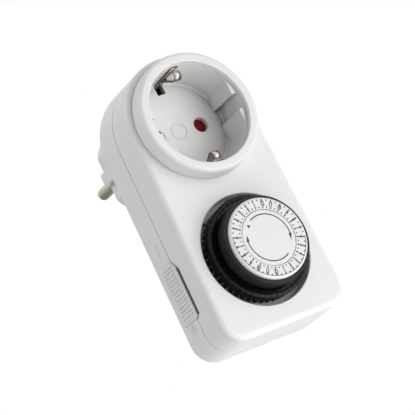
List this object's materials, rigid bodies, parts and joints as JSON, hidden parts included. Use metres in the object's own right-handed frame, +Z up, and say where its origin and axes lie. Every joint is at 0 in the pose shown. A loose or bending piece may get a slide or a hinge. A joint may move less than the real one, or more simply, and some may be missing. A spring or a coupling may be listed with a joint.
{
  "type": "plug-in timer switch",
  "caption": "White plug-in timer switch: earthed socket in a raised round collar above a 24-hour dial with black push-down tappets, override slider on the side, plug with round pins at the back",
  "frame": {"origin": "middle of the plug body's end face, between the two pins, on the socket axis", "axes": "+Z up as it hangs on a wall, the front with socket and dial faces -Y, the pins point along +Y, +X is right seen from the front"},
  "size_m": [0.0543, 0.0736, 0.1062],
  "materials": {
    "shell_white": "satin moulded white",
    "slider_white": "satin moulded white",
    "dial_white": "satin white with black print",
    "inner_plastic": "light grey moulding",
    "gear_plastic": "natural acetal",
    "shutter_red": "dark red moulding",
    "drum_black": "fine matt black",
    "tappet_black": "glossy black",
    "nickel_strip": "bright nickel plate",
    "nickel_pin": "dull nickel plate",
    "brass_strip": "rolled brass",
    "brass_pinion": "turned brass",
    "zinc_steel": "zinc plated",
    "axle_steel": "ground steel",
    "spring_steel": "spring wire"
  },
  "bodies": {
    "housing": {"front_shell": "shell_white", "rear_shell": "shell_white", "socket_insert": "shell_white", "contact_carrier": "inner_plastic", "shutter_spring": "spring_steel", "earth_clip_upper": "nickel_strip", "earth_clip_lower": "nickel_strip", "earth_strap": "nickel_strip", "neutral_contact": "brass_strip", "line_contact": "brass_strip", "neutral_bar": "brass_strip", "line_bar": "brass_strip", "plug_pin_neutral": "nickel_pin", "plug_pin_line": "nickel_pin", "plug_earth_upper": "nickel_strip", "plug_earth_lower": "nickel_strip", "housing_screws": "zinc_steel", "centre_disc": "dial_white", "motor_can": "zinc_steel", "motor_plate": "zinc_steel", "axle_a": "axle_steel", "axle_b": "axle_steel", "gear_bridge": "inner_plastic", "lever_pin": "axle_steel", "fixed_contact": "brass_strip", "slider_spring": "spring_steel"},
    "dial": {"dial_drum": "drum_black", "number_ring": "dial_white"},
    "tappet_group_00": {"tappets_00": "tappet_black"},
    "tappet_group_01": {"tappets_01": "tappet_black"},
    "tappet_group_02": {"tappets_02": "tappet_black"},
    "tappet_group_03": {"tappets_03": "tappet_black"},
    "tappet_group_04": {"tappets_04": "tappet_black"},
    "tappet_group_05": {"tappets_05": "tappet_black"},
    "tappet_group_06": {"tappets_06": "tappet_black"},
    "tappet_group_07": {"tappets_07": "tappet_black"},
    "tappet_group_08": {"tappets_08": "tappet_black"},
    "tappet_group_09": {"tappets_09": "tappet_black"},
    "tappet_group_10": {"tappets_10": "tappet_black"},
    "tappet_group_11": {"tappets_11": "tappet_black"},
    "gear_b": {"gear_b": "gear_plastic"},
    "gear_a": {"gear_a": "gear_plastic"},
    "motor_rotor": {"motor_pinion": "brass_pinion"},
    "lever": {"switch_lever": "gear_plastic", "moving_contact": "brass_strip"},
    "slider": {"override_slider": "slider_white"},
    "shutter": {"shutter": "shutter_red"}
  },
  "joints": [
    {"name": "dial_turn", "type": "hinge", "parent": "housing", "child": "dial", "pos_m": [0, -0.044, -0.0519], "axis": [0, 1, 0], "continuous": true},
    {"name": "tappets_00_press", "type": "slide", "parent": "dial", "child": "tappet_group_00", "axis": [0, 1, 0], "range_m": [0, 0.002]},
    {"name": "tappets_01_press", "type": "slide", "parent": "dial", "child": "tappet_group_01", "axis": [0, 1, 0], "range_m": [0, 0.002]},
    {"name": "tappets_02_press", "type": "slide", "parent": "dial", "child": "tappet_group_02", "axis": [0, 1, 0], "range_m": [0, 0.002]},
    {"name": "tappets_03_press", "type": "slide", "parent": "dial", "child": "tappet_group_03", "axis": [0, 1, 0], "range_m": [0, 0.002]},
    {"name": "tappets_04_press", "type": "slide", "parent": "dial", "child": "tappet_group_04", "axis": [0, 1, 0], "range_m": [0, 0.002]},
    {"name": "tappets_05_press", "type": "slide", "parent": "dial", "child": "tappet_group_05", "axis": [0, 1, 0], "range_m": [0, 0.002]},
    {"name": "tappets_06_press", "type": "slide", "parent": "dial", "child": "tappet_group_06", "axis": [0, 1, 0], "range_m": [0, 0.002]},
    {"name": "tappets_07_press", "type": "slide", "parent": "dial", "child": "tappet_group_07", "axis": [0, 1, 0], "range_m": [0, 0.002]},
    {"name": "tappets_08_press", "type": "slide", "parent": "dial", "child": "tappet_group_08", "axis": [0, 1, 0], "range_m": [0, 0.002]},
    {"name": "tappets_09_press", "type": "slide", "parent": "dial", "child": "tappet_group_09", "axis": [0, 1, 0], "range_m": [0, 0.002]},
    {"name": "tappets_10_press", "type": "slide", "parent": "dial", "child": "tappet_group_10", "axis": [0, 1, 0], "range_m": [0, 0.002]},
    {"name": "tappets_11_press", "type": "slide", "parent": "dial", "child": "tappet_group_11", "axis": [0, 1, 0], "range_m": [0, 0.002]},
    {"name": "gear_b_turn", "type": "hinge", "parent": "housing", "child": "gear_b", "pos_m": [0.00799, -0.0354, -0.04588], "axis": [0, 1, 0], "continuous": true},
    {"name": "gear_a_turn", "type": "hinge", "parent": "housing", "child": "gear_a", "pos_m": [0.01247, -0.0334, -0.05755], "axis": [0, 1, 0], "continuous": true},
    {"name": "motor_turn", "type": "hinge", "parent": "housing", "child": "motor_rotor", "pos_m": [0.00045, -0.0324, -0.061], "axis": [0, 1, 0], "continuous": true},
    {"name": "lever_swing", "type": "hinge", "parent": "housing", "child": "lever", "pos_m": [-0.01117, -0.0339, -0.05811], "axis": [-1, 0, 0], "range_deg": [0, 6]},
    {"name": "slider_move", "type": "slide", "parent": "housing", "child": "slider", "axis": [0.0193, 0, 0.9998], "range_m": [0, 0.002]},
    {"name": "shutter_turn", "type": "hinge", "parent": "housing", "child": "shutter", "pos_m": [0, -0.0299, 0], "axis": [0, 1, 0], "range_deg": [0, 40], "stiffness_Nm_per_rad": 0.004, "springref_deg": -20.05}
  ],
  "couplings": [
    {"joint": "gear_b_turn", "follows": "dial_turn", "ratio": 5},
    {"joint": "gear_a_turn", "follows": "dial_turn", "ratio": -20},
    {"joint": "motor_turn", "follows": "dial_turn", "ratio": 80},
    {"joint": "lever_swing", "follows": "tappets_04_press", "rad_per_m": 50}
  ]
}
